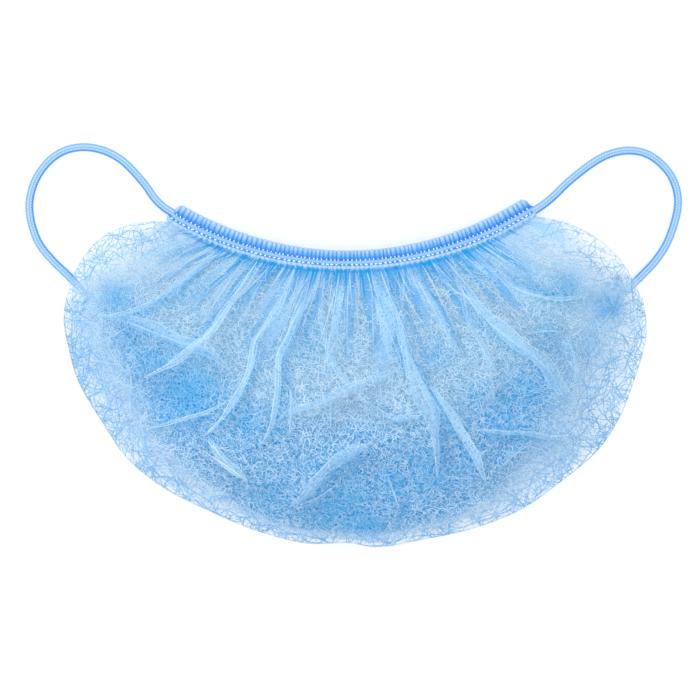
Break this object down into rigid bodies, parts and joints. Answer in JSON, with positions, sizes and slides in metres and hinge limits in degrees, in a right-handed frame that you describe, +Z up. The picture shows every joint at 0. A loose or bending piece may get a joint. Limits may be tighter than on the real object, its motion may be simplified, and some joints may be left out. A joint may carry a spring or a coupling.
{
  "type": "beard cover",
  "caption": "Disposable sheer blue cloth pouch that covers a beard, gathered on a stitched elastic front band, with knitted elastic ear loops.",
  "frame": {"origin": "on the table under the middle of the pouch and band, without the ear loops", "axes": "+X to the wearer's left-hand side of the lying cover (right in the picture), +Y from the chin fold to the front band, +Z up off the table"},
  "size_m": [0.2477, 0.1528, 0.0428],
  "materials": {
    "cloth": "sheer matt spunbond, pale blue",
    "band": "gathered matt cloth with white stitches",
    "elastic": "knitted elastic, mid blue"
  },
  "bodies": {
    "root": {"pouch_front": "cloth", "pouch_back": "cloth", "front_band": "band", "back_hem": "band", "ear_loop_left": "elastic", "ear_loop_right": "elastic"}
  },
  "joints": []
}
